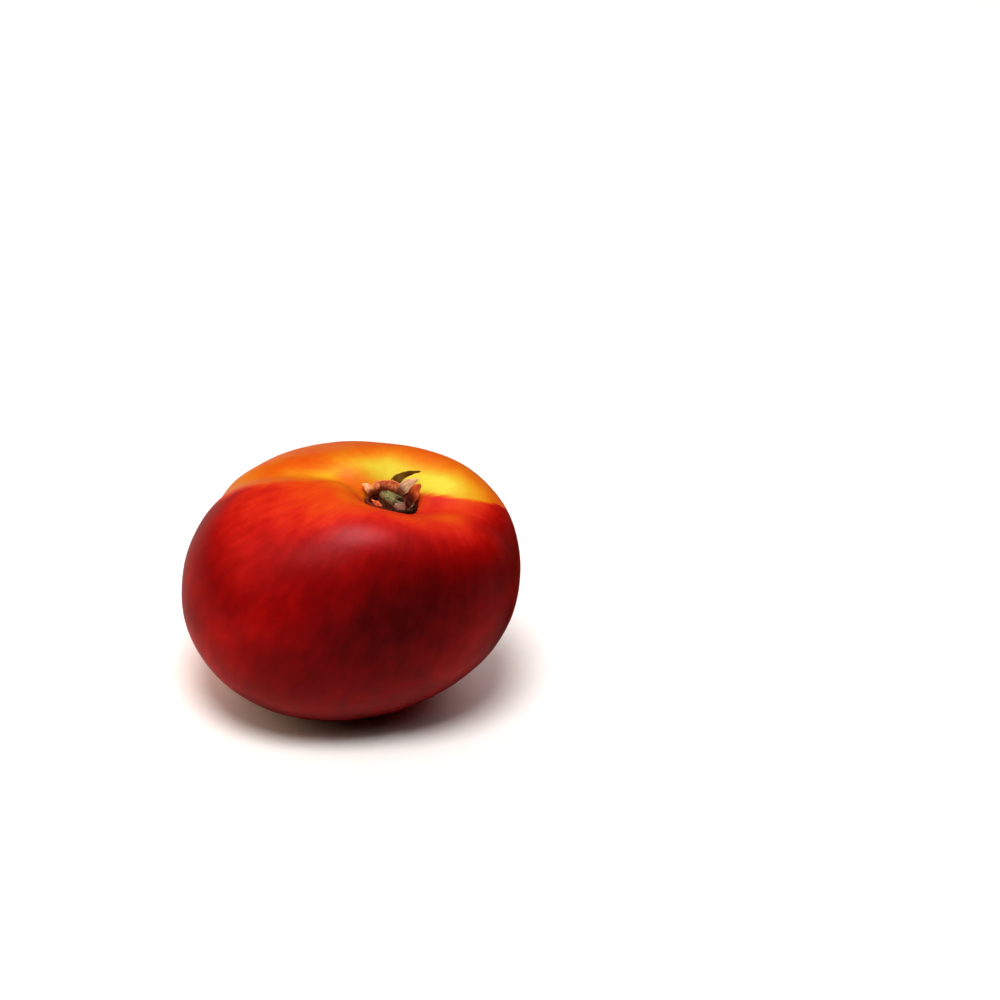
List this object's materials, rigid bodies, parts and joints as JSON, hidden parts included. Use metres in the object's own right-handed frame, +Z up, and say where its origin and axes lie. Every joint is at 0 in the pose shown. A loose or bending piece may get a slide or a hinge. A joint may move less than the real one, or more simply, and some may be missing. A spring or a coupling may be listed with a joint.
{
  "type": "nectarine",
  "caption": "Ripe nectarine resting on its underside: a smooth two-cheeked fruit with a suture, a deep stem cavity, and a woody stub ringed by dried bud scales.",
  "frame": {"origin": "middle of the small flat spot the fruit rests on", "axes": "+Z up from the rest flat, +X along the fruit's longest extent towards the back of its stem cavity, -Y towards the cheek in view"},
  "size_m": [0.0668, 0.063, 0.0525],
  "materials": {
    "skin": "smooth waxy fruit skin, crimson to maroon over a yellow ground",
    "stub_wood": "dry grey-brown broken stem wood",
    "dried_scale": "dry papery reddish-brown bud scale"
  },
  "bodies": {
    "root": {"nectarine_fruit": "skin", "stem_stub": "stub_wood", "bud_scales": "dried_scale"}
  },
  "joints": []
}
